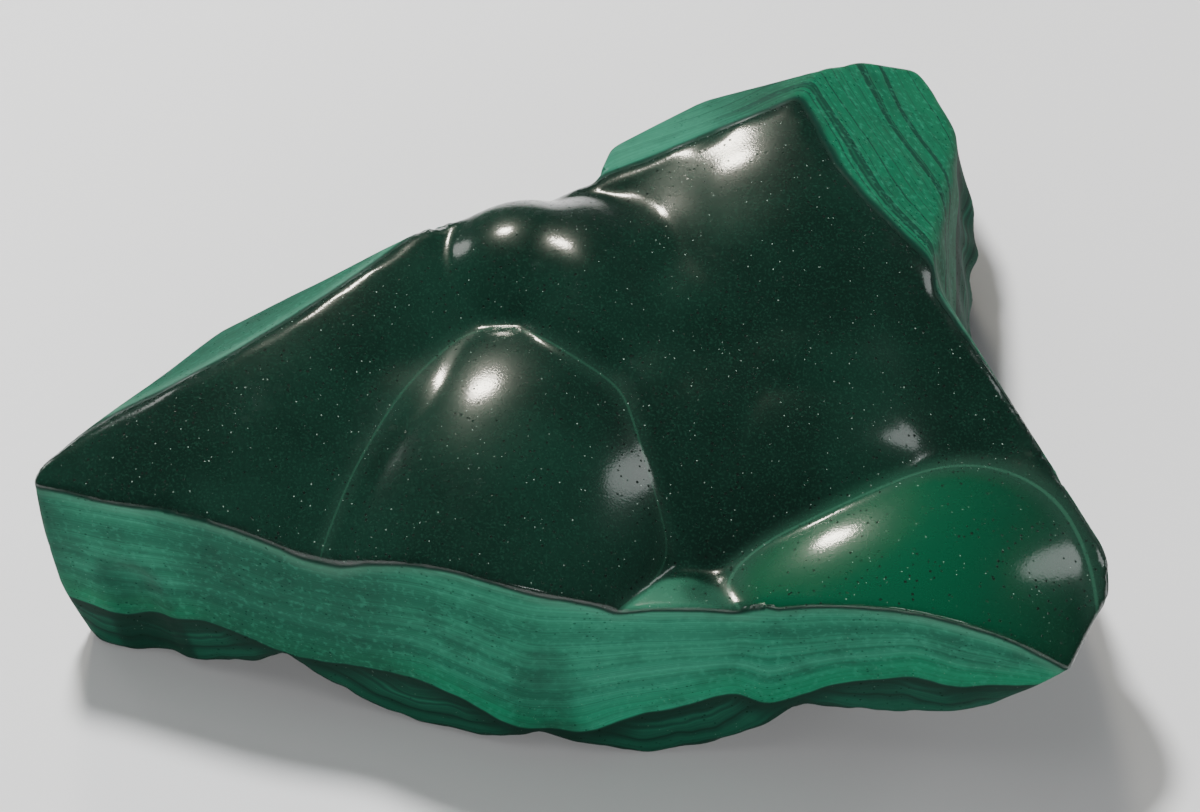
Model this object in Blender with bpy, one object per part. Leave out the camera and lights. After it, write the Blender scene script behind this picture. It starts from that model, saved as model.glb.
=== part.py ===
"""Malachite specimen: one polished, sawn piece of botryoidal malachite, resting on its flat underside.

Run with: blender --background --python part.py
The stone is the domes of its polished top, met by the lobes of its underside and by the sawn blocks of its sides.
"""

import math

import bmesh
import bpy
from mathutils import Matrix, Vector

MM = 0.001

# Polished top: the domes of the growth surface, as crown x, y, z, half length, half width and height in mm,
# and turn about the vertical in degrees.
DOMES = {
    "west": (-49.5, -10.7, 29.3, 52.8, 52.4, 53.4, 0.0),
    "north_west": (-24.5, -5.2, 34.2, 24.5, 31.0, 15.5, -33.0),
    "ball": (-6.8, -18.0, 33.7, 22.0, 30.0, 15.0, -15.0),
    "knob_left": (-5.6, 8.0, 34.4, 11.4, 11.0, 8.4, 12.0),
    "knob_right": (1.8, 4.4, 34.6, 9.3, 15.0, 8.0, 2.0),
    "saddle": (9.1, -5.5, 32.2, 15.1, 29.0, 19.9, 17.0),
    "north": (24.5, 16.5, 34.5, 24.0, 30.8, 14.0, -20.0),
    "north_back": (32.0, 36.0, 33.0, 18.0, 18.0, 22.0, 0.0),
    "middle": (20.6, -13.0, 30.8, 38.1, 25.4, 32.2, 12.0),
    "east": (28.5, 32.0, 33.7, 150.0, 150.0, 150.0, 0.0),
    "south_east": (34.8, -30.5, 28.7, 33.5, 49.3, 40.4, -57.0),
    "south": (10.7, -46.0, 27.7, 42.7, 42.4, 43.0, -5.0),
}
# The solid heart that the domes stand on reaches this high.
HEART_TOP = 20.0

# Underside: rounded lobes that the stone stands on, as centre x, y, z and radius in mm.
UNDER_LOBES = {
    "west": (-47.0, -19.0, 24.0, 25.0),
    "south_west": (-14.0, -31.0, 23.5, 24.0),
    "south": (8.0, -31.0, 19.0, 20.0),
    "south_step": (30.0, -33.0, 27.5, 19.5),
    "south_east": (40.0, -34.0, 31.0, 22.3),
    "centre": (0.0, 0.0, 44.4, 45.0),
    "north_east": (25.0, 10.0, 37.4, 38.0),
    "north": (33.0, 30.0, 30.0, 26.0),
    "north_west": (-25.0, -2.0, 33.4, 34.0),
    "east": (44.0, 2.0, 24.0, 22.0),
}

# Sawn faces of each block: bearing of the outward side (degrees from +X towards +Y), its lift above level
# (degrees; 0 is upright, negative is undercut) and its distance from the origin in mm.
BODY_CUTS = {
    "front_left": (253.1, 0.0, 36.2),
    "front": (265.0, 0.0, 36.4),
    "front_right": (274.5, -19.5, 35.0),
    "right_end": (337.0, -35.0, 40.3),
    "right_corner": (0.0, 0.0, 57.2),
    "right_side": (24.5, 18.0, 46.4),
    "right_foot": (22.0, -10.0, 47.4),
    "right_bevel": (17.4, 50.8, 48.2),
    "back_bevel": (131.3, 50.0, 37.2),
    "back_left": (113.6, -5.0, 15.5),
    "back": (113.5, 5.0, 19.9),
    "tip_back": (139.5, -5.0, 28.6),
    "tip": (165.0, 0.0, 50.2),
    "tip_under": (186.2, -20.5, 51.5),
}
SPUR_CUTS = {
    "spur_right": (355.5, 14.0, 45.5),
    "spur_corner": (16.6, 0.0, 53.3),
    "spur_tip": (43.3, 0.0, 61.5),
    "spur_end": (114.8, 0.0, 25.5),
    "spur_left": (140.1, 0.0, 2.5),
    "spur_front": (270.0, 0.0, 10.0),
}
RIDGE_CUTS = {
    "ridge_corner": (126.9, -5.0, 18.6),
    "ridge_back": (90.0, 0.0, 37.3),
    "ridge_notch": (170.0, 0.0, 0.8),
    "ridge_inner": (0.0, 0.0, 29.0),
    "ridge_front": (270.0, 0.0, 10.0),
}

# Wedges taken off the top's two back corners, bounded in the same way.
RIDGE_WEDGE = {
    "bevel": (302.0, -54.0, -34.0),
    "left": (180.0, 0.0, -1.5),
    "front": (270.0, 0.0, -17.0),
}
SPUR_WEDGE = {
    "bevel": (203.9, -56.0, -47.6),
    "front": (270.0, 0.0, -4.0),
}

# Shallow hollows worn into the sawn faces, as centre x, y, z and radius in mm.
SCOOPS = {
    "front": (13.0, -205.0, 20.0, 169.5),
}

BLOCK_SIZE = 200.0
RINGS = 26
SKIRT = 6.0
COLOUR = (0.010, 0.105, 0.062, 1.0)


def clear_scene():
    for old in list(bpy.data.objects):
        bpy.data.objects.remove(old, do_unlink=True)


def new_collection(name):
    group = bpy.data.collections.new(name)
    bpy.context.scene.collection.children.link(group)
    return group


def new_object(name, bm, group):
    mesh = bpy.data.meshes.new(name)
    bm.to_mesh(mesh)
    bm.free()
    made = bpy.data.objects.new(name, mesh)
    group.objects.link(made)
    return made


def as_cutter(made):
    made.hide_render = True
    made.display_type = "WIRE"


def sphere(name, measures, group):
    x, y, z, radius = measures
    bm = bmesh.new()
    place = Matrix.Translation(Vector((x, y, z)) * MM)
    bmesh.ops.create_uvsphere(bm, u_segments=2 * RINGS, v_segments=RINGS, radius=radius * MM, matrix=place)
    return new_object(name, bm, group)


def dome(name, measures, group):
    """Half an ellipsoid, with its skirt drawn down into the heart."""
    x, y, crown, length, width, height, turn = measures
    bm = bmesh.new()
    bmesh.ops.create_uvsphere(bm, u_segments=2 * RINGS, v_segments=RINGS, radius=1.0)
    for vertex in bm.verts:
        if vertex.co.z < -1e-6:
            vertex.co.z *= SKIRT
    place = Matrix.Translation(Vector((x, y, crown - height)) * MM)
    swing = Matrix.Rotation(math.radians(turn), 4, "Z")
    bm.transform(place @ swing @ Matrix.Diagonal((length * MM, width * MM, height * MM, 1.0)))
    return new_object(name, bm, group)


def block(name, cuts, group):
    """A large cube with one flat sawn off for each cut."""
    bm = bmesh.new()
    bmesh.ops.create_cube(bm, size=BLOCK_SIZE * MM)
    for bearing, lift, distance in cuts.values():
        a, b = math.radians(bearing), math.radians(lift)
        out = Vector((math.cos(a) * math.cos(b), math.sin(a) * math.cos(b), math.sin(b)))
        cut = bmesh.ops.bisect_plane(
            bm, geom=bm.verts[:] + bm.edges[:] + bm.faces[:], dist=1e-6, clear_outer=True,
            plane_co=out * distance * MM, plane_no=out,
        )["geom_cut"]
        edges = [part for part in cut if isinstance(part, bmesh.types.BMEdge)]
        if edges:
            bmesh.ops.contextual_create(bm, geom=edges)
    bmesh.ops.recalc_face_normals(bm, faces=bm.faces)
    return new_object(name, bm, group)


def boolean(target, operation, cutter):
    modifier = target.modifiers.new(operation.lower() + "_" + cutter.name, "BOOLEAN")
    modifier.operation = operation
    modifier.solver = "EXACT"
    modifier.object = cutter


def union(pieces):
    first = pieces[0]
    for other in pieces[1:]:
        boolean(first, "UNION", other)
    return first


def malachite():
    material = bpy.data.materials.new("malachite")
    material.use_nodes = True
    shader = material.node_tree.nodes["Principled BSDF"]
    shader.inputs["Base Color"].default_value = COLOUR
    shader.inputs["Roughness"].default_value = 0.18
    shader.inputs["Metallic"].default_value = 0.0
    return material


def build():
    clear_scene()
    parts = new_collection("malachite_specimen")
    cutters = new_collection("cutters")

    domes = [dome("top_" + name, m, cutters) for name, m in DOMES.items()]
    lobes = [sphere("under_" + name, m, cutters) for name, m in UNDER_LOBES.items()]
    blocks = [block("block_body", BODY_CUTS, cutters), block("block_spur", SPUR_CUTS, cutters),
              block("block_ridge", RIDGE_CUTS, cutters)]
    wedges = [block("wedge_ridge", RIDGE_WEDGE, cutters), block("wedge_spur", SPUR_WEDGE, cutters)]
    scoops = [sphere("scoop_" + name, m, cutters) for name, m in SCOOPS.items()]
    bm = bmesh.new()
    bmesh.ops.create_cube(bm, size=BLOCK_SIZE * MM, matrix=Matrix.Translation((0, 0, -BLOCK_SIZE * MM / 2)))
    ground = new_object("ground", bm, cutters)
    bm = bmesh.new()
    middle = Matrix.Translation((0, 0, (HEART_TOP - BLOCK_SIZE / 2) * MM))
    bmesh.ops.create_cube(bm, size=BLOCK_SIZE * MM, matrix=middle)
    heart = new_object("heart", bm, cutters)

    stone = union([heart] + domes)
    boolean(stone, "INTERSECT", union(lobes))
    boolean(stone, "INTERSECT", union(blocks))
    for offcut in scoops + wedges:
        boolean(stone, "DIFFERENCE", offcut)
    boolean(stone, "DIFFERENCE", ground)

    bpy.context.view_layer.update()
    shape = bpy.data.meshes.new_from_object(stone.evaluated_get(bpy.context.evaluated_depsgraph_get()))
    shape.name = "malachite_specimen"
    corners = [vertex.co for vertex in shape.vertices]
    middle = [(min(c[i] for c in corners) + max(c[i] for c in corners)) / 2 for i in range(2)]
    print("shift", middle)
    shape.transform(Matrix.Translation((-middle[0], -middle[1], 0)))
    finished = bpy.data.objects.new("malachite_specimen", shape)
    parts.objects.link(finished)
    shape.materials.clear()
    shape.materials.append(malachite())
    shape.shade_smooth()
    shape.set_sharp_from_angle(angle=math.radians(35))
    for made in cutters.objects:
        as_cutter(made)
    print("size", [round((max(c[i] for c in corners) - min(c[i] for c in corners)) / MM, 1) for i in range(3)],
          "triangles", sum(len(p.vertices) - 2 for p in shape.polygons))


build()
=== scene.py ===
import math
import bpy
import numpy as np
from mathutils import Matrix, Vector


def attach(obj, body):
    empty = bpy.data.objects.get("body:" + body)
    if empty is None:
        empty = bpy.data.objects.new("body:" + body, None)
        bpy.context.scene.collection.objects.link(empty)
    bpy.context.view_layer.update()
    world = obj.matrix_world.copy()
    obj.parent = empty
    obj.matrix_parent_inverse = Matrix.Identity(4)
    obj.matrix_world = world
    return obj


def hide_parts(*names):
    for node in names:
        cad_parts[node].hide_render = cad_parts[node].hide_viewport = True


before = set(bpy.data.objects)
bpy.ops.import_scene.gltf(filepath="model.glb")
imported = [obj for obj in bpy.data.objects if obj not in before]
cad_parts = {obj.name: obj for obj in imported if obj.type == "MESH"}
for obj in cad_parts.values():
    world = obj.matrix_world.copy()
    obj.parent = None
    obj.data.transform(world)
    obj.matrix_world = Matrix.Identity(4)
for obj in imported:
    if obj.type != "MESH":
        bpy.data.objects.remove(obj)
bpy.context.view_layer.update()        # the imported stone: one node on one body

mm = 0.001
moved = (0.116, -3.213)        # the growth's own middle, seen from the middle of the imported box, in mm


view = {        # lengths in mm, from the growth's own middle
    "lookAt": (3.2, 0.0, 15.0), "elevation": 52.0, "distance": 480.0,
    "lens": 128.6, "sensor": 36.0, "nearest": 10.0,
}
floor = {"size": 3.0, "colour": (0.66, 0.66, 0.665), "roughness": 0.6, "specular": 0.2}
room = {"colour": (0.9, 0.95, 1.0), "strength": 0.07}
# Lamps: the way to each from the stone, its distance and size in m, its power in W, its colour, and whether
# the polish mirrors it.
lamps = {
    "overhead": {"way": (-0.21, 0.31, 0.93), "far": 0.45, "size": (0.06, 0.06), "power": 3.8,
                 "colour": (1, 1, 1), "mirrored": False},
    "roof": {"way": (-0.3, 0.1, 0.95), "far": 0.9, "size": (0.8, 0.8), "power": 1.6,
             "colour": (1, 1, 1), "mirrored": False},
    "key": {"way": (-0.17, 0.78, 0.61), "far": 1.3, "size": (0.16, 0.13), "power": 5.0,
            "colour": (1, 0.94, 0.80), "mirrored": True},
    "leftPanel": {"way": (-0.62, 0.66, 0.42), "far": 1.3, "size": (0.30, 0.36), "power": 1.0,
                  "colour": (1, 1, 0.97), "mirrored": True},
    "rightPanel": {"way": (0.73, 0.40, 0.56), "far": 1.3, "size": (0.28, 0.60), "power": 1.25,
                   "colour": (0.97, 1, 1), "mirrored": True},
    "frontFill": {"way": (-0.25, -0.90, 0.36), "far": 1.1, "size": (0.9, 0.4), "power": 7.0,
                  "colour": (1, 1, 1), "mirrored": False},
    "sideFill": {"way": (0.88, -0.30, 0.36), "far": 1.1, "size": (0.5, 0.5), "power": 1.8,
                 "colour": (1, 1, 1), "mirrored": False},
    "frontGlint": {"way": (0.08, -0.90, 0.40), "far": 1.1, "size": (0.22, 0.10), "power": 0.6,
                   "colour": (1, 1, 1), "mirrored": True},
}


def inFrame(x, y, z):
    return Vector((x + moved[0], y + moved[1], z)) * mm


def addCamera():
    camera = bpy.data.objects.new("camera", bpy.data.cameras.new("camera"))
    bpy.context.scene.collection.objects.link(camera)
    camera.data.sensor_width = view["sensor"]
    camera.data.lens = view["lens"]
    camera.data.clip_start = view["nearest"] * mm
    tilt = math.radians(view["elevation"])
    back = Vector((0, -math.cos(tilt), math.sin(tilt)))
    camera.location = inFrame(*view["lookAt"]) + back * view["distance"] * mm
    camera.rotation_euler = (math.pi / 2 - tilt, 0, 0)
    bpy.context.scene.camera = camera


def addLamp(name, v):
    data = bpy.data.lights.new(name, "AREA")
    data.shape = "ELLIPSE"
    data.size, data.size_y = v["size"]
    data.energy = v["power"]
    data.color = v["colour"]
    lamp = bpy.data.objects.new(name, data)
    bpy.context.scene.collection.objects.link(lamp)
    way = Vector(v["way"]).normalized()
    lamp.location = way * v["far"]
    lamp.rotation_euler = (-way).to_track_quat("-Z", "Y").to_euler()
    lamp.visible_glossy = v["mirrored"]


def addStudio():
    addCamera()
    for name, v in lamps.items():
        addLamp(name, v)
    world = bpy.data.worlds.new("studio")
    bpy.context.scene.world = world
    world.use_nodes = True
    background = world.node_tree.nodes["Background"]
    background.inputs["Color"].default_value = (*room["colour"], 1)
    background.inputs["Strength"].default_value = room["strength"]
    bpy.ops.object.select_all(action="DESELECT")
    bpy.ops.mesh.primitive_plane_add(size=floor["size"])
    ground = bpy.context.object
    ground.name = "studioFloor"
    paint = bpy.data.materials.new("paleFloor")
    paint.use_nodes = True
    shader = paint.node_tree.nodes["Principled BSDF"]
    shader.inputs["Base Color"].default_value = (*floor["colour"], 1)
    shader.inputs["Roughness"].default_value = floor["roughness"]
    shader.inputs["Specular IOR Level"].default_value = floor["specular"]
    ground.data.materials.append(paint)


addStudio()
print("studio ready")


# Domes of the growth surface: crown x, y, z, half length, width and height in mm, and turn in degrees.
domes = {
    "west": (-49.5, -10.7, 29.3, 52.8, 52.4, 53.4, 0.0),
    "northWest": (-27.0, 0.5, 33.6, 25.5, 42.0, 15.0, -33.0),
    "ball": (-6.8, -18.0, 33.7, 22.0, 30.0, 15.0, -15.0),
    "knobLeft": (-5.6, 8.0, 34.4, 11.4, 11.0, 8.4, 12.0),
    "knobRight": (1.8, 4.4, 34.6, 9.3, 15.0, 8.0, 2.0),
    "saddle": (9.1, -5.5, 32.2, 15.1, 29.0, 19.9, 17.0),
    "north": (24.5, 16.5, 34.5, 24.0, 30.8, 14.0, -20.0),
    "northBack": (32.0, 36.0, 33.0, 18.0, 18.0, 22.0, 0.0),
    "middle": (20.6, -13.0, 30.8, 38.1, 25.4, 32.2, 12.0),
    "east": (28.5, 32.0, 33.7, 150.0, 150.0, 150.0, 0.0),
    "eastRim": (60.0, -10.0, 26.6, 40.0, 40.0, 20.0, 0.0),
    "southEast": (34.8, -30.5, 28.7, 33.5, 49.3, 40.4, -57.0),
    "south": (10.7, -46.0, 27.7, 42.7, 42.4, 43.0, -5.0),
}
heartTop = 20.0        # the solid heart under the domes reaches this high
# Where domes grew into one another softly: x, y, reach and extra width of the softening in mm.
softSpots = {
    "northToSaddle": (13.0, 0.0, 7.0, 4.0), "saddleToMiddle": (15.0, -12.0, 5.0, 3.0),
    "ballToWest": (-19.0, -11.0, 7.0, 3.5), "ballToFront": (-26.0, -21.0, 7.0, 3.5),
    "frontDip": (-28.0, -32.0, 7.0, 4.0), "northToMiddle": (24.0, -5.5, 6.0, 3.0),
    "northToMiddleRight": (31.0, -5.0, 6.0, 2.5), "knobs": (-2.0, 8.0, 6.0, 0.8),
    "knobToSaddle": (3.2, 2.8, 5.0, 3.0), "tip": (-45.2, -14.0, 8.0, 1.5),
    "northToEast": (36.5, 4.0, 9.0, 1.2), "northToKnob": (8.0, 11.0, 6.0, 3.0),
    "middleToEast": (39.0, -8.5, 6.0, 1.2),
}
# Lobes of the underside: centre x, y, z and radius in mm.
lobes = {
    "west": (-47.0, -19.0, 24.0, 25.0), "southWest": (-14.0, -31.0, 23.5, 24.0),
    "south": (8.0, -31.0, 19.0, 20.0), "southStep": (30.0, -33.0, 27.5, 19.5),
    "southEast": (40.0, -34.0, 31.0, 22.3), "centre": (0.0, 0.0, 44.4, 45.0),
    "northEast": (25.0, 10.0, 37.4, 38.0), "north": (33.0, 30.0, 30.0, 26.0),
    "northWest": (-25.0, -2.0, 33.4, 34.0), "east": (44.0, 2.0, 24.0, 22.0),
}
# Sawn faces: bearing of the outward side and its lift in degrees, distance from the growth's middle in mm.
bodyCuts = {
    "frontLeft": (253.1, 0.0, 36.2), "front": (265.0, 0.0, 36.4), "frontRight": (274.5, -19.5, 35.0),
    "rightEnd": (337.0, -35.0, 40.3), "rightCorner": (0.0, 0.0, 57.2), "rightSide": (24.5, 18.0, 46.4),
    "rightFoot": (22.0, -10.0, 47.4), "rightBevel": (17.4, 50.8, 48.2), "backBevel": (131.3, 50.0, 37.2),
    "backLeft": (113.6, -5.0, 15.5), "back": (113.5, 5.0, 19.9), "tipBack": (139.5, -5.0, 28.6),
    "tip": (165.0, 0.0, 50.2), "tipUnder": (186.2, -20.5, 51.5),
}
spurCuts = {
    "right": (355.5, 14.0, 45.5), "corner": (16.6, 0.0, 53.3), "tip": (43.3, 0.0, 61.5),
    "end": (114.8, 0.0, 25.5), "left": (140.1, 0.0, 2.5), "front": (270.0, 0.0, 10.0),
}
ridgeCuts = {
    "corner": (126.9, -5.0, 18.6), "back": (90.0, 0.0, 37.3), "notch": (170.0, 0.0, 0.8),
    "inner": (0.0, 0.0, 29.0), "front": (270.0, 0.0, 10.0),
}
# Wedges taken off the top's two back corners, bounded in the same way.
ridgeWedge = {"bevel": (302.0, -54.0, -34.0), "left": (180.0, 0.0, -1.5), "front": (270.0, 0.0, -17.0)}
spurWedge = {"bevel": (203.9, -56.0, -47.6), "front": (270.0, 0.0, -4.0)}
# Hollows: two ends of a rounded groove or chip, and its radius, in mm.
hollows = {
    "front": ((13.0, -205.0, 20.0), (13.0, -205.0, 20.0), 169.5),
    "tipGroove": ((-47.1, -30.2, 0.0), (-50.0, -29.3, 13.5), 7.2),
    "middleGroove": ((-3.6, -43.3, 0.0), (-3.2, -43.7, 16.0), 7.6),
    "flake": ((20.4, -47.4, 19.7), (20.4, -47.4, 19.7), 12.2),
    "rimChip": ((18.6, -36.4, 26.0), (20.6, -36.5, 25.9), 1.2),
    "notchHole": ((2.2, 21.5, 29.0), (3.4, 22.0, 28.6), 1.0),
}
# How softly the surfaces of the stone meet, in mm.
meeting = {
    "dome": 0.8, "lobe": 1.5, "corner": 0.9, "hollow": 0.5,
    "edge": 0.75, "edgeLeast": 0.3, "edgeMost": 1.6,        # the worn edge round the polished top
    "foot": 1.6,        # where the sawn faces turn under onto the lobes
    "rest": 0.3,
}
# Unevenness: its height in mm, or its share of what it varies, its size in mm, and its random seed.
uneven = {
    "domes": (0.03, 11.0, 3), "lobes": (0.45, 8.0, 5), "lobesFine": (0.225, 3.4, 6),
    "saw": (0.06, 12.0, 7), "edge": (0.45, 5.0, 9), "spur": (1.0, 7.0, 21), "seam": (0.4, 14.0, 12),
}
knobs = {"least": 0.15, "more": 0.6, "from": 44.0, "over": 4.0}        # the spur's walls, along x in mm
wear = {
    "grain": 0.52,        # size of the fine mesh, in mm
    "passes": 7, "reach": 0.4,        # how far a point may move in one pass, in mm
    "probe": 0.02,        # the slope is measured over this much on each side, in mm
    "leastSlope": 0.2,
}


def blendMax(a, b, width):
    h = np.maximum(width - np.abs(a - b), 0)
    return np.maximum(a, b) + h * h / (4 * width)


def blendMin(a, b, width):
    return -blendMax(-a, -b, width)


def ball(p, v):
    return v[3] - np.linalg.norm(p - np.array(v[:3]), axis=1)


def sawn(p, cuts, width):
    inside = None
    for bearing, lift, distance in cuts.values():
        a, b = math.radians(bearing), math.radians(lift)
        out = np.array((math.cos(a) * math.cos(b), math.sin(a) * math.cos(b), math.sin(b)))
        near = distance - p @ out
        inside = near if inside is None else blendMin(inside, near, width)
    return inside


def swell(p, kind):
    # a smooth random unevenness, made of 14 waves
    height, size, seed = uneven[kind]
    dice = np.random.default_rng(seed)
    total = np.zeros(len(p))
    for _ in range(14):
        way = dice.normal(size=3)
        way *= dice.uniform(0.6, 1.5) * 2 * math.pi / size / np.linalg.norm(way)
        total += np.sin(p @ way + dice.uniform(0, 6.28))
    return height * total / 5.0


def hollow(p, v):
    a, b = np.array(v[0]), np.array(v[1])
    along = b - a
    share = np.clip((p - a) @ along / max(along @ along, 1e-9), 0, 1)
    return np.linalg.norm(p - a - share[:, None] * along, axis=1) - v[2]


def turned(p, x, y, turn):
    c, s = math.cos(math.radians(turn)), math.sin(math.radians(turn))
    dx, dy = p[:, 0] - x, p[:, 1] - y
    return c * dx + s * dy, c * dy - s * dx


def dome(p, v):
    x, y, crown, length, width, height, turn = v
    along, across = turned(p, x, y, turn)
    up = np.maximum(p[:, 2] - crown + height, 0)
    size = np.array((length, width, height))
    q = np.stack([along, across, up], axis=1) / size
    far = np.linalg.norm(q, axis=1) + 1e-6
    return far * (1 - far) / np.maximum(np.linalg.norm(q / size, axis=1), 1e-4)


def softness(p):
    width = np.full(len(p), meeting["dome"])
    for x, y, reach, extra in softSpots.values():
        width += extra * np.exp(-((p[:, 0] - x) ** 2 + (p[:, 1] - y) ** 2) / reach ** 2)
    return width


def topDepth(p):
    depth, width = heartTop - p[:, 2], softness(p)
    for v in domes.values():
        depth = blendMax(depth, dome(p, v), width)
    return depth + swell(p, "domes")


def footDepth(p):
    depth = None
    for v in lobes.values():
        near = ball(p, v)
        depth = near if depth is None else blendMax(depth, near, meeting["lobe"])
    return depth + swell(p, "lobes") + swell(p, "lobesFine")


def sideDepth(p):
    corner = meeting["corner"]
    height = knobs["least"] + knobs["more"] * np.clip((p[:, 0] - knobs["from"]) / knobs["over"], 0, 1)
    depth = blendMax(sawn(p, bodyCuts, corner), sawn(p, spurCuts, corner) + height * swell(p, "spur"), corner)
    depth = blendMax(depth, sawn(p, ridgeCuts, corner), corner)
    for wedge in (ridgeWedge, spurWedge):
        depth = blendMin(depth, -sawn(p, wedge, corner), corner)
    for v in hollows.values():
        depth = blendMin(depth, hollow(p, v), meeting["hollow"])
    return depth + swell(p, "saw")


def stoneDepth(p):
    # how far inside the worn stone each point lies, in mm
    worn = meeting["edge"] * (1.0 + swell(p, "edge"))
    depth = blendMin(topDepth(p), sideDepth(p), np.clip(worn, meeting["edgeLeast"], meeting["edgeMost"]))
    depth = blendMin(depth, footDepth(p), meeting["foot"])
    return blendMin(depth, p[:, 2], meeting["rest"])


def fineCopy(node):
    bpy.ops.object.select_all(action="DESELECT")
    node.select_set(True)
    bpy.context.view_layer.objects.active = node
    bpy.ops.object.duplicate()
    copy = bpy.context.object
    copy.name = "polishedMalachite"
    bpy.ops.object.mode_set(mode="EDIT")
    bpy.ops.mesh.select_all(action="SELECT")
    bpy.ops.mesh.remove_doubles(threshold=1e-6)
    bpy.ops.object.mode_set(mode="OBJECT")
    remesh = copy.modifiers.new("fineMesh", "REMESH")
    remesh.mode = "VOXEL"
    remesh.voxel_size = wear["grain"] * mm
    bpy.ops.object.modifier_apply(modifier=remesh.name)
    return copy


def wearAway(piece):
    # moves each point of the fine mesh onto the worn surface
    mesh = piece.data
    p = np.empty(len(mesh.vertices) * 3)
    mesh.vertices.foreach_get("co", p)
    p = p.reshape(-1, 3) / mm - np.array((*moved, 0.0))
    step, reach = wear["probe"], wear["reach"]
    for _ in range(wear["passes"]):
        here = stoneDepth(p)
        slope = np.stack([(stoneDepth(p + step * axis) - stoneDepth(p - step * axis)) / (2 * step)
                          for axis in np.eye(3)], axis=1)
        size = np.maximum((slope ** 2).sum(axis=1), wear["leastSlope"])
        p -= np.clip(here / size, -reach, reach)[:, None] * slope
    p[:, 2] = np.maximum(p[:, 2], 0)
    mesh.vertices.foreach_set("co", ((p + np.array((*moved, 0.0))) * mm).ravel())
    mesh.update()
    return p


polished = fineCopy(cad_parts["malachite_specimen"])
print("fine mesh", len(polished.data.polygons), "faces")
points = wearAway(polished)
print("worn smooth")


# Height of the dark seam between the upper growth and the crust under it, along the stone's length, in mm.
seamLine = {
    -62.0: 8.0, -50.0: 7.5, -45.0: 6.4, -37.0: 9.6, -29.0: 7.2, -15.0: 8.8, -8.5: 5.5, -4.0: 3.6, 3.0: 5.0,
    11.0: 8.0, 18.0: 10.5, 21.0: 8.4, 29.0: 13.0, 36.0: 16.0, 41.0: 14.5, 48.0: 17.0, 62.0: 19.0,
}
layering = {
    "thickness": 18.0, "least": 4.0,        # of the growth between the domes and the seam
    "soften": 5.0,        # how softly the layers run on from dome to dome
    "slant": 0.25, "front": -36.0,        # the seam runs aslant from the front face backwards
    "reach": 6.0,        # distances from a border are kept this far
    "outline": 4.0,        # how softly the other domes join round an outlined one
    "groove": 0.7,        # how far the painted shade in a groove spreads
    "waver": 1.3, "ripple": 0.25,        # how far clouds push the layers about
}
outlined = ("ball", "southEast", "south")        # domes outlined with a painted highlight along their crease, or with painted light or a colour of their own


def topHeight(p):
    # height of the domes over each point, carried on smoothly past their rims
    height = None
    for x, y, crown, length, width, rise, turn in domes.values():
        along, across = turned(p, x, y, turn)
        over = crown - 0.5 * rise * ((along / length) ** 2 + (across / width) ** 2)
        height = over if height is None else blendMax(height, over, layering["soften"])
    return height


def seamHeight(p):
    along = p[:, 0] + layering["slant"] * (p[:, 1] - layering["front"])
    spots = np.arange(-90.0, 90.0, 0.5)
    line = np.interp(spots, list(seamLine), list(seamLine.values()))
    share = np.hanning(9)[1:-1]
    line = np.convolve(np.pad(line, 3, mode="edge"), share / share.sum(), mode="valid")
    return np.interp(along, spots, line) + swell(p, "seam")


def giveAttribute(piece, name, values):
    piece.data.attributes.new(name, "FLOAT", "POINT").data.foreach_set("value", values.astype(np.float32))


def layGrowth(piece, p):
    top, side, foot = topDepth(p), sideDepth(p), footDepth(p)
    height, seam = topHeight(p), seamHeight(p)
    reach = layering["reach"]
    share = (height - p[:, 2]) / np.maximum(height - seam, layering["least"])
    giveAttribute(piece, "layer", layering["thickness"] * share)
    giveAttribute(piece, "seam", p[:, 2] - seam)
    giveAttribute(piece, "skin", np.clip(side - top, -reach, reach))
    giveAttribute(piece, "sole", np.clip(np.minimum(side, top) - foot, -reach, reach))
    giveAttribute(piece, "crust", foot)
    for name in outlined:
        others = np.full(len(p), -20.0)
        for other, v in domes.items():
            others = blendMax(others, dome(p, v), layering["outline"]) if other != name else others
        giveAttribute(piece, name, np.clip(dome(p, domes[name]) - others, -reach, reach))
    # where the painted shade in the grooves falls
    groove = [np.exp(-(hollow(p, hollows[name]) / layering["groove"]) ** 2)
              for name in ("tipGroove", "middleGroove")]
    giveAttribute(piece, "groove", np.max(groove, axis=0))


layGrowth(polished, points)
print("growth layers written")


# Colours of the malachite, and of the painted shade, highlight and light on it, as seen on a screen, 0 to
# 255.
green = {
    "skin": (5, 24, 17), "skinLight": (9, 34, 25), "skinPaintedLight": (0, 62, 39), "facet": (44, 98, 76),
    # the crease and haze colours: a painted highlight and a softer painted sheen along the creases
    "grain": (26, 62, 47), "creaseHighlight": (40, 84, 64), "haze": (44, 70, 58), "rim": (80, 124, 104),
    # cutLight also paints the light on the middle of the front face
    "cut": (28, 110, 84), "cutLight": (54, 142, 114), "cutDeep": (14, 90, 68), "fresh": (0, 116, 76),
    # the shade colour, and on the left of the front the crust colour, paint shade on the sawn faces
    "spur": (0, 82, 54), "shade": (0, 52, 36), "line": (3, 40, 30), "crust": (12, 68, 51),
    # the dark crust colour also paints the shade in the grooves
    "crustDarkAndShade": (6, 36, 27), "dust": (170, 190, 178),
}
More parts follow.
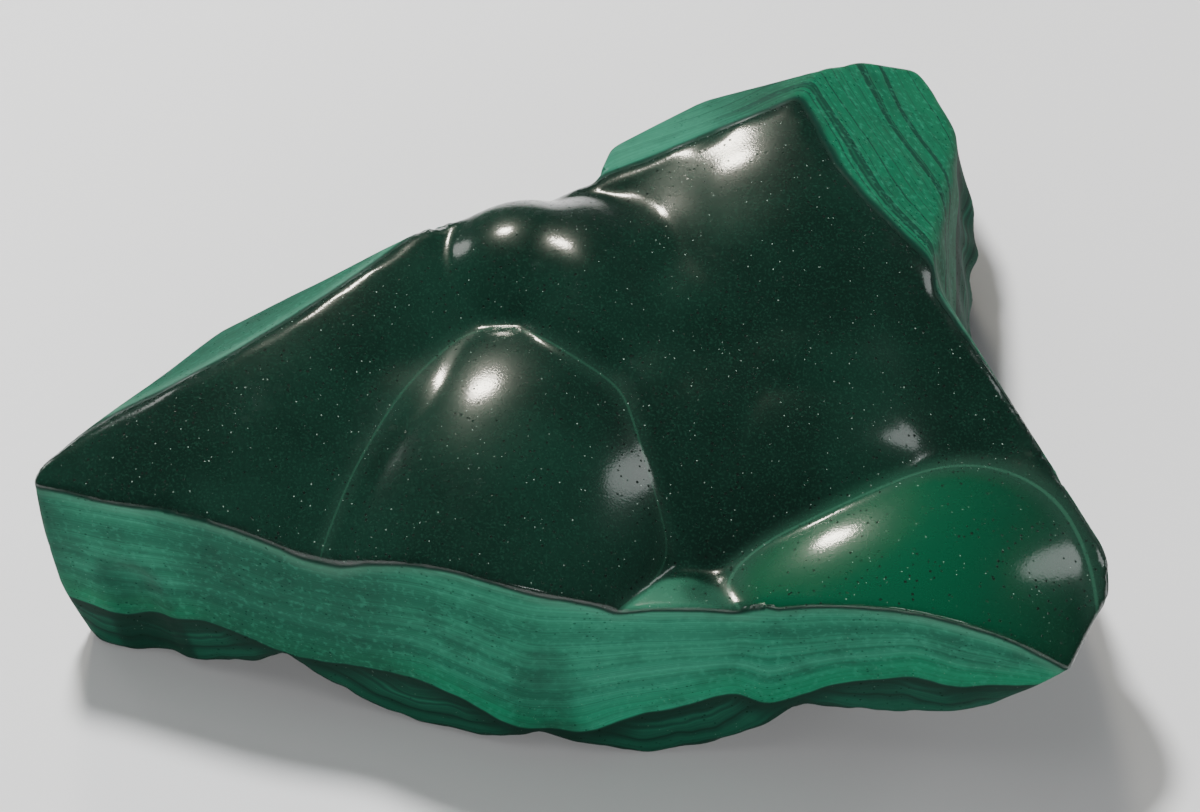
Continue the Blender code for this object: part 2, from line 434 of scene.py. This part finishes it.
# Parts of the sawn faces with a colour of their own (the spur), with painted shade (the ridge, the back and
# the left of the front) or with painted light (the middle of the front), and the dome with painted light:
# where each begins and where it is complete, in m.
regions = {
    "spur": (0.036, 0.046), "spurSlant": 0.9,        # along x and a little less along y
    "back": (0.015, 0.021), "backWay": (-0.66, 0.75),        # shares of x and y
    "ridgeBack": (0.008, 0.013), "ridgeLeft": (0.030, 0.022),
    # painted shade on the left part of the front face
    "frontPaintedShadeLeft": (-0.046, -0.038), "frontPaintedShadeRight": (-0.011, -0.024),
    # painted light on the middle of the front face
    "frontPaintedLightLeft": (-0.006, 0.004), "frontPaintedLightRight": (0.024, 0.010),
    # where the painted light on the south-east dome fades out along x
    "paintedLightDome": (0.062, 0.036),
    "patches": (0.35, 0.70),        # no place, but how strong the cloud of that name is there
}
# Lines that follow the growth: how many to a mm, where the pattern starts, and its detail.
growthLines = {
    "broad": (0.34615, 3.3, 2.0), "middling": (1.0, 11.0, 2.0), "fine": (5.0, 5.0, 2.0),
    "strokes": (0.5, 7.0, 1.0), "crust": (0.9, 2.0, 2.0),
}
# Clouds: how many to a m, and their detail.
clouds = {
    "waver": (70.0, 2.0), "ripple": (380.0, 2.0), "patches": (45.0, 2.0), "mottle": (260.0, 3.0),
    "powder": (1500.0, 3.0), "groove": (420.0, 3.0), "nodule": (120.0, 2.0), "seam": (150.0, 2.0),
    "skin": (200.0, 2.0), "soft": (55.0, 3.0), "grain": (4200.0, 1.0), "pitted": (130.0, 2.0),
    "rough": (900.0, 2.0), "relief": (4200.0, 2.0),
}
# Dots: how many cells to a m, smallest and largest size in m, and the share of the cells that hold one.
speckles = {
    "dashes": (170.0, 0.00012, 0.00026, 0.10), "dust": (2200.0, 0.000035, 0.00008, 0.14),
    "pits": (1500.0, 0.00007, 0.00015, 0.60),
}


def tint(name):
    return [((v / 255 + 0.055) / 1.055) ** 2.4 if v > 10 else v / 255 / 12.92 for v in green[name]] + [1.0]


def put(tree, kind, values=None, **settings):
    node = tree.nodes.new("ShaderNode" + kind)
    for name, value in settings.items():
        setattr(node, name, value)
    for key, value in (values or {}).items():
        if isinstance(value, bpy.types.NodeSocket):
            tree.links.new(value, node.inputs[key])
        else:
            node.inputs[key].default_value = value
    return node


def calc(tree, operation, *values):
    return put(tree, "Math", dict(enumerate(values)), operation=operation).outputs[0]


def times(tree, *values):
    product = values[0]
    for value in values[1:]:
        product = calc(tree, "MULTIPLY", product, value)
    return product


def scaled(tree, value, scale, shift):
    return calc(tree, "MULTIPLY_ADD", value, scale, shift)


def fade(tree, value, low, high):
    return put(tree, "MapRange", {"Value": value, "From Min": low, "From Max": high},
               interpolation_type="SMOOTHSTEP").outputs["Result"]


def blend(tree, amount, under, over):
    return put(tree, "Mix", {0: amount, 6: under, 7: over}, data_type="RGBA", clamp_factor=True).outputs[2]


def stain(tree, under, name, *amounts):
    # the colour under a stain is a socket, or the name of a colour
    under = tint(under) if isinstance(under, str) else under
    return blend(tree, times(tree, *amounts), under, tint(name))


def growthNoise(tree, position, name):
    perMm, start, detail = growthLines[name]
    along = scaled(tree, position, perMm, start)
    return put(tree, "TexNoise", {"W": along, "Scale": 1.0, "Detail": detail},
               noise_dimensions="1D").outputs["Fac"]


def thinLines(tree, noise, width):
    away = calc(tree, "ABSOLUTE", calc(tree, "SUBTRACT", noise, 0.5))
    return calc(tree, "SUBTRACT", 1.0, fade(tree, away, width * 0.3, width))


def cloud(tree, place, name):
    scale, detail = clouds[name]
    return put(tree, "TexNoise", {"Vector": place, "Scale": scale, "Detail": detail}).outputs["Fac"]


def dots(tree, place, name):
    # round dots on some of the cells
    scale, small, large, share = speckles[name]
    cells = put(tree, "TexVoronoi", {"Vector": place, "Scale": scale, "Randomness": 1.0})
    hue = put(tree, "SeparateColor", {0: cells.outputs["Color"]}).outputs
    size = scaled(tree, hue[0], (large - small) * scale, small * scale)
    size = times(tree, size, calc(tree, "LESS_THAN", hue[1], share))
    away = calc(tree, "SUBTRACT", cells.outputs["Distance"], size)
    return calc(tree, "SUBTRACT", 1.0, fade(tree, away, -0.25 * small * scale, 0.35 * small * scale))


def findRegions(tree, place):
    x, y = put(tree, "SeparateXYZ", {0: place}).outputs[:2]
    v = regions
    behind = scaled(tree, y, v["backWay"][1], times(tree, x, v["backWay"][0]))
    ridge = times(tree, fade(tree, y, *v["ridgeBack"]), fade(tree, x, *v["ridgeLeft"]))
    return {
        "ridge": ridge,
        "spur": fade(tree, scaled(tree, y, v["spurSlant"], x), *v["spur"]),
        # painted shade on the ridge and on the faces turned to the back
        "shaded": calc(tree, "MAXIMUM", ridge, fade(tree, behind, *v["back"])),
        # painted shade on the left part of the front face
        "frontPaintedShade": times(tree, fade(tree, x, *v["frontPaintedShadeLeft"]), fade(tree, x, *v["frontPaintedShadeRight"])),
        # painted light on the middle of the front face
        "pale": times(tree, fade(tree, x, *v["frontPaintedLightLeft"]), fade(tree, x, *v["frontPaintedLightRight"])),
        # painted light on the south-east dome
        "paintedLightDome": fade(tree, x, *v["paintedLightDome"]),
        "patches": fade(tree, cloud(tree, place, "patches"), *v["patches"]),
    }


# In each look below, two numbers are where a fade begins and is complete, and one is a strength or a width.
# Two numbers named "on" a region are what the region adds to a strength, and the strength elsewhere.
sawnLook = {
    "cut": (0.30, 0.62), "light": (0.48, 0.70), "lightOnPatches": (0.4, 0.15),
    "freshFrom": (0.0, 0.3), "freshTo": (5.5, 1.5), "fresh": 0.55,        # above the seam, in mm
    # strengths of the spur's own green, of the painted shade and of the painted light
    "spur": 0.85, "shaded": 0.75, "frontPaintedShade": 0.72, "pale": 0.30,
    "fine": (0.62, 0.38), "fineStrength": 0.20, "middlingWidth": 0.03, "middlingStrength": 0.16,
    "strokesWidth": 0.018, "strokesOnSpur": (0.7, 0.15), "mottle": (0.46, 0.72), "mottleStrength": 0.30,
    "powder": (0.50, 0.70), "powderOnShaded": (-0.13, 0.22), "dashSquash": (0.35, 0.35, 1.6), "dashes": 0.75,
    "deep": (0.34, 0.24), "deepOnSpur": (0.08, 0.10), "groove": 0.75,
}


def sawnFace(tree, place, read, layer, middling):
    # green bands, then dark lines along them, and powder and short dashes left by the saw; painted shade on
    # the ridge, the back and the left of the front, painted light on the middle of the front, and painted
    # shade in the grooves
    v = sawnLook
    broad, fine, strokes = [growthNoise(tree, layer, name) for name in ("broad", "fine", "strokes")]
    colour = stain(tree, "cutDeep", "cut", fade(tree, broad, *v["cut"]))
    lighter = scaled(tree, read["patches"], *v["lightOnPatches"])
    colour = stain(tree, colour, "cutLight", fade(tree, broad, *v["light"]), lighter)
    overSeam = times(tree, fade(tree, read["seam"], *v["freshFrom"]), fade(tree, read["seam"], *v["freshTo"]))
    colour = stain(tree, colour, "fresh", overSeam, v["fresh"])
    # the spur's own darker green; painted shade on the ridge and back in the shade colour and on the left of
    # the front in the crust colour; painted light on the middle of the front in the pale cut colour
    for region, name in (("spur", "spur"), ("shaded", "shade"), ("frontPaintedShade", "crust"), ("pale", "cutLight")):
        colour = stain(tree, colour, name, read[region], v[region])
    colour = stain(tree, colour, "line", fade(tree, fine, *v["fine"]), v["fineStrength"])
    colour = stain(tree, colour, "line", thinLines(tree, middling, v["middlingWidth"]), v["middlingStrength"])
    drawn = scaled(tree, read["spur"], *v["strokesOnSpur"])
    colour = stain(tree, colour, "line", thinLines(tree, strokes, v["strokesWidth"]), drawn)
    mottle = fade(tree, cloud(tree, place, "mottle"), *v["mottle"])
    colour = stain(tree, colour, "line", mottle, v["mottleStrength"])
    powder = fade(tree, cloud(tree, place, "powder"), *v["powder"])
    colour = stain(tree, colour, "cutLight", powder, scaled(tree, read["shaded"], *v["powderOnShaded"]))
    flattened = put(tree, "Mapping", {"Vector": place, "Scale": v["dashSquash"]}).outputs[0]
    colour = stain(tree, colour, "line", dots(tree, flattened, "dashes"), v["dashes"])
    deeper = scaled(tree, read["spur"], *v["deepOnSpur"])
    colour = stain(tree, colour, "line", fade(tree, broad, *v["deep"]), deeper)
    # painted shade in the grooves, in patches
    shadeInGroove = times(tree, cloud(tree, place, "groove"), v["groove"])
    return stain(tree, colour, "crustDarkAndShade", read["groove"], shadeInGroove)


crustLook = {
    "nodules": 1.6, "seamWavers": 1.4,        # in mm
    "bands": (0.22, 0.62), "pale": (0.56, 0.70), "paleStrength": 0.35,
    "nearSeam": (-3.4, -0.3), "nearSeamStrength": 0.88, "groove": (0.2, 0.8), "grooveStrength": 0.7,
    "border": (0.15, -0.15), "seam": (0.10, 0.42), "seamStrength": 0.92,
}


def underSeam(tree, place, read, colour):
    # the crust of small nodules, with bands of its own, under a dark seam
    v = crustLook
    nodule = scaled(tree, cloud(tree, place, "nodule"), v["nodules"], read["crust"])
    bands = growthNoise(tree, nodule, "crust")
    seam = scaled(tree, cloud(tree, place, "seam"), v["seamWavers"], read["seam"])
    seam = calc(tree, "SUBTRACT", seam, v["seamWavers"] / 2)
    crust = stain(tree, "crustDarkAndShade", "crust", fade(tree, bands, *v["bands"]))
    crust = stain(tree, crust, "cut", fade(tree, bands, *v["pale"]), v["paleStrength"])
    crust = stain(tree, crust, "crustDarkAndShade", fade(tree, seam, *v["nearSeam"]), v["nearSeamStrength"])
    # painted shade in the grooves of the crust
    crust = stain(tree, crust, "crustDarkAndShade", fade(tree, read["groove"], *v["groove"]), v["grooveStrength"])
    colour = blend(tree, fade(tree, seam, *v["border"]), colour, crust)
    onSeam = calc(tree, "SUBTRACT", 1.0, fade(tree, calc(tree, "ABSOLUTE", seam), *v["seam"]))
    return stain(tree, colour, "crustDarkAndShade", onSeam, v["seamStrength"])


edgeLook = {
    "skinWavers": 0.6, "skin": (-0.6, -0.2),        # in mm from the polished top
    "haze": (-2.6, -1.0), "hazeOnPatches": (0.30, 0.15), "turned": (-1.15, -0.60),
    "foot": (-1.1, -0.2), "footStrength": 0.8,
}


def wornEdges(tree, read, skin, colour):
    # the dark skin turns over the top edge, with a pale haze under it, and the foot is dark
    v = edgeLook
    haze = times(tree, fade(tree, skin, *v["haze"]), scaled(tree, read["patches"], *v["hazeOnPatches"]))
    bare = calc(tree, "SUBTRACT", 1.0, calc(tree, "MAXIMUM", read["spur"], read["ridge"]))
    colour = stain(tree, colour, "rim", haze, bare)
    colour = stain(tree, colour, "line", fade(tree, skin, *v["turned"]))
    return stain(tree, colour, "crustDarkAndShade", fade(tree, read["sole"], *v["foot"]), v["footStrength"])


skinLook = {
    "light": (0.35, 0.65), "grain": (0.50, 0.72), "grainStrength": 0.3,
    "brightWavers": 2.0, "bright": (-1.5, 1.8), "brightStrength": 0.9,        # in mm over the crease
    "outlines": {"ball": 0.25, "southEast": 0.6},        # domes, and how strong the painted highlight along each outline is
    "creaseHighlight": (0.16, 0.05), "haze": (1.6, 0.0), "hazeShare": 0.5,
    "facet": (-0.2, 0.5), "facetPatches": (0.25, 0.60), "facetStrength": 0.8,
}


def polishedSkin(tree, place, read):
    # the growth's own dark skin, with painted light making one dome a brighter green, and a painted highlight
    # with a softer painted sheen along the creases round two of them
    v = skinLook
    soft = cloud(tree, place, "soft")
    top = stain(tree, "skin", "skinLight", fade(tree, soft, *v["light"]))
    top = stain(tree, top, "grain", fade(tree, cloud(tree, place, "grain"), *v["grain"]), v["grainStrength"])
    # painted light: the south-east dome is painted a brighter green, as if lit more from the front-right
    wide = calc(tree, "SUBTRACT", read["southEast"], v["brightWavers"] / 2)
    wide = fade(tree, scaled(tree, soft, v["brightWavers"], wide), *v["bright"])
    top = stain(tree, top, "skinPaintedLight", wide, read["paintedLightDome"], v["brightStrength"])
    # painted highlight: a thin pale line along each outlined crease, with a softer painted sheen beside it
    for name, strength in v["outlines"].items():
        near = calc(tree, "ABSOLUTE", read[name])
        top = stain(tree, top, "creaseHighlight", fade(tree, near, *v["creaseHighlight"]), strength)
        top = stain(tree, top, "haze", fade(tree, near, *v["haze"]), v["hazeShare"] * strength)
    patches = fade(tree, soft, *v["facetPatches"])
    return stain(tree, top, "facet", fade(tree, read["south"], *v["facet"]), patches, v["facetStrength"])


# Dust and pits lie mostly on the polished top, and the pits only in some places.
markLook = {
    "dustOnTop": (0.25, 0.13), "pitted": (0.38, 0.52), "pitsOnTop": (0.5, 0.4),
    "pitShadeColour": (0.003, 0.006, 0.005, 1.0),
}
finish = {
    "cutRough": 0.72, "topRough": 0.23, "roughVaries": 0.08, "sole": (-0.2, 0.4), "duller": 0.3,
    "coatRough": 0.09, "ior": 1.55, "specular": 0.2,
    "grainDepth": 0.000007, "pitDepth": 0.00006, "bandDepth": 0.00002,        # in m
}


def malachite():
    material = bpy.data.materials.new("polishedMalachite")
    material.use_nodes = True
    tree = material.node_tree
    shader = tree.nodes["Principled BSDF"]
    place = put(tree, "TexCoord").outputs["Object"]
    read = {name: put(tree, "Attribute", attribute_name=name).outputs["Fac"]
            for name in ("layer", "seam", "skin", "sole", "crust", "groove") + outlined}
    read.update(findRegions(tree, place))
    skin = calc(tree, "SUBTRACT", read["skin"], edgeLook["skinWavers"] / 2)
    skin = scaled(tree, cloud(tree, place, "skin"), edgeLook["skinWavers"], skin)
    onTop = fade(tree, skin, *edgeLook["skin"])
    layer = scaled(tree, cloud(tree, place, "waver"), layering["waver"], read["layer"])
    layer = scaled(tree, cloud(tree, place, "ripple"), layering["ripple"], layer)
    middling = growthNoise(tree, layer, "middling")

    colour = sawnFace(tree, place, read, layer, middling)
    colour = underSeam(tree, place, read, colour)
    colour = wornEdges(tree, read, skin, colour)
    colour = blend(tree, onTop, colour, polishedSkin(tree, place, read))
    shown = scaled(tree, onTop, *markLook["dustOnTop"])
    colour = stain(tree, colour, "dust", dots(tree, place, "dust"), shown)
    pitted = fade(tree, cloud(tree, place, "pitted"), *markLook["pitted"])
    pits = times(tree, dots(tree, place, "pits"), pitted)
    # painted shade: the pits are painted nearly black, most of all on the polished top
    dark = times(tree, pits, scaled(tree, onTop, *markLook["pitsOnTop"]))
    colour = blend(tree, dark, colour, markLook["pitShadeColour"])
    tree.links.new(colour, shader.inputs["Base Color"])

    # gloss: a polished coat over the domes, duller cuts, dullest under the stone
    rough = scaled(tree, onTop, finish["topRough"] - finish["cutRough"], finish["cutRough"])
    rough = scaled(tree, cloud(tree, place, "rough"), finish["roughVaries"], rough)
    dull = calc(tree, "MAXIMUM", pits, fade(tree, read["sole"], *finish["sole"]))
    tree.links.new(scaled(tree, dull, finish["duller"], rough), shader.inputs["Roughness"])
    tree.links.new(times(tree, onTop, calc(tree, "SUBTRACT", 1.0, pits)), shader.inputs["Coat Weight"])
    shader.inputs["Coat Roughness"].default_value = finish["coatRough"]
    shader.inputs["IOR"].default_value = finish["ior"]
    shader.inputs["Specular IOR Level"].default_value = finish["specular"]

    # relief: a fine grain, the pits, and the bands of the sawn faces
    relief = times(tree, cloud(tree, place, "relief"), finish["grainDepth"])
    relief = scaled(tree, pits, -finish["pitDepth"], relief)
    onCut = calc(tree, "SUBTRACT", 1.0, onTop)
    relief = scaled(tree, times(tree, middling, onCut), finish["bandDepth"], relief)
    bump = put(tree, "Bump", {"Height": relief, "Distance": 1.0, "Strength": 1.0})
    tree.links.new(bump.outputs["Normal"], shader.inputs["Normal"])
    tree.links.new(bump.outputs["Normal"], shader.inputs["Coat Normal"])
    return material


polished.data.materials.clear()
polished.data.materials.append(malachite())
polished.data.shade_smooth()
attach(polished, "root")
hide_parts("malachite_specimen")
print("stone dressed")
